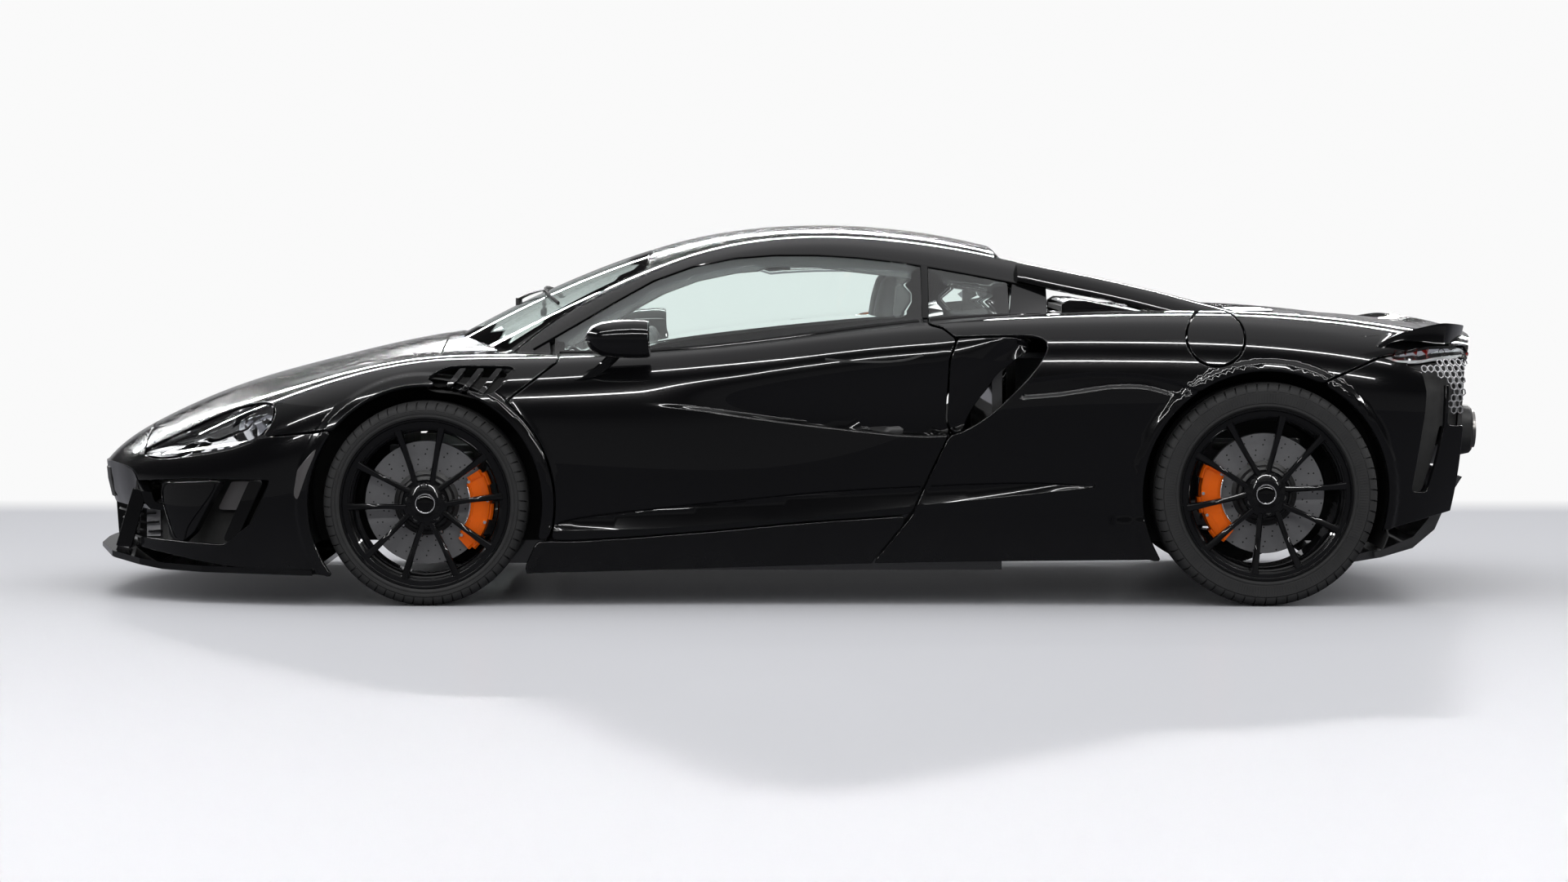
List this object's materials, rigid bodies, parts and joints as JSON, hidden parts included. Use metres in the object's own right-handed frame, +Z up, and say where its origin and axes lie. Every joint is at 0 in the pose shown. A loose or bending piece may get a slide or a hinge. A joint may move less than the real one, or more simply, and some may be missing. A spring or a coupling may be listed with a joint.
{
  "type": "mid-engined two-door sports coupe",
  "caption": "Low mid-engined two-seat sports coupe with upward-swinging doors, opening bonnet, steered front wheels and open cabin.",
  "frame": {"origin": "on the ground under the middle of the car", "axes": "nose towards -X, left side towards -Y, +Z up"},
  "size_m": [4.539, 2.0814, 1.194],
  "materials": {
    "paint": "deep gloss black",
    "gloss_trim": "gloss black",
    "trim": "satin black",
    "glass": "lightly tinted",
    "lamp": "clear lens over dark housing",
    "tyre": "matt",
    "rim": "gloss black",
    "disc": "drilled, matt grey",
    "caliper": "gloss orange",
    "cast": "cast",
    "carbon": "satin",
    "leather": "soft black",
    "steel": "heat darkened",
    "engine": "cast"
  },
  "bodies": {
    "root": {"front_clam": "paint", "rear_clam": "paint", "front_bumper": "paint", "rear_bumper": "paint", "roof_panel": "paint", "engine_cover": "gloss_trim", "sills": "gloss_trim", "windscreen": "glass", "rear_windows": "glass", "lamps": "lamp", "rear_calipers": "caliper", "subframes": "cast", "arch_liners": "trim", "tub": "carbon", "luggage_bay": "trim", "seats": "leather", "dashboard": "leather", "engine_block": "engine", "splitter": "gloss_trim", "diffuser": "gloss_trim", "exhaust": "steel"},
    "bonnet": {"bonnet": "paint"},
    "door_left": {"door_left_shell": "paint", "door_left_glass": "glass", "door_left_mirror": "gloss_trim"},
    "door_right": {"door_right_shell": "paint", "door_right_glass": "glass", "door_right_mirror": "gloss_trim"},
    "steering_wheel": {"steering_wheel": "leather"},
    "knuckle_left": {"knuckle_left": "cast", "caliper_front_left": "caliper"},
    "knuckle_right": {"knuckle_right": "cast", "caliper_front_right": "caliper"},
    "wheel_front_left": {"tyre_front_left": "tyre", "rim_front_left": "rim", "brake_disc_front_left": "disc"},
    "wheel_front_right": {"tyre_front_right": "tyre", "rim_front_right": "rim", "brake_disc_front_right": "disc"},
    "wheel_rear_left": {"tyre_rear_left": "tyre", "rim_rear_left": "rim", "brake_disc_rear_left": "disc"},
    "wheel_rear_right": {"tyre_rear_right": "tyre", "rim_rear_right": "rim", "brake_disc_rear_right": "disc"}
  },
  "joints": [
    {"name": "bonnet_lift", "type": "hinge", "parent": "root", "child": "bonnet", "pos_m": [-1.119, 0, 0.846], "axis": [0, 1, 0], "range_deg": [0, 45]},
    {"name": "door_left_swing", "type": "hinge", "parent": "root", "child": "door_left", "pos_m": [-0.826, -0.905, 0.7], "axis": [-0.7334, -0.2243, -0.6417], "range_deg": [0, 65]},
    {"name": "door_right_swing", "type": "hinge", "parent": "root", "child": "door_right", "pos_m": [-0.826, 0.905, 0.7], "axis": [0.7334, -0.2243, 0.6417], "range_deg": [0, 65]},
    {"name": "steer_left", "type": "hinge", "parent": "root", "child": "knuckle_left", "pos_m": [-1.145, -0.765, 0.322], "axis": [0, 0, 1], "range_deg": [-30, 30]},
    {"name": "steer_right", "type": "hinge", "parent": "root", "child": "knuckle_right", "pos_m": [-1.145, 0.765, 0.322], "axis": [0, 0, 1], "range_deg": [-30, 30]},
    {"name": "steering_wheel_turn", "type": "hinge", "parent": "root", "child": "steering_wheel", "pos_m": [-0.392, -0.37, 0.69], "axis": [0.9397, 0, 0.342], "range_deg": [-450, 450]},
    {"name": "spin_front_left", "type": "hinge", "parent": "knuckle_left", "child": "wheel_front_left", "pos_m": [-1.145, -0.825, 0.322], "axis": [0, 1, 0], "continuous": true},
    {"name": "spin_front_right", "type": "hinge", "parent": "knuckle_right", "child": "wheel_front_right", "pos_m": [-1.145, 0.825, 0.322], "axis": [0, 1, 0], "continuous": true},
    {"name": "spin_rear_left", "type": "hinge", "parent": "root", "child": "wheel_rear_left", "pos_m": [1.495, -0.8065, 0.352], "axis": [0, 1, 0], "continuous": true},
    {"name": "spin_rear_right", "type": "hinge", "parent": "root", "child": "wheel_rear_right", "pos_m": [1.495, 0.8065, 0.352], "axis": [0, 1, 0], "continuous": true}
  ],
  "couplings": [
    {"joint": "steer_right", "follows": "steer_left", "ratio": 1},
    {"joint": "steering_wheel_turn", "follows": "steer_left", "ratio": 15}
  ]
}
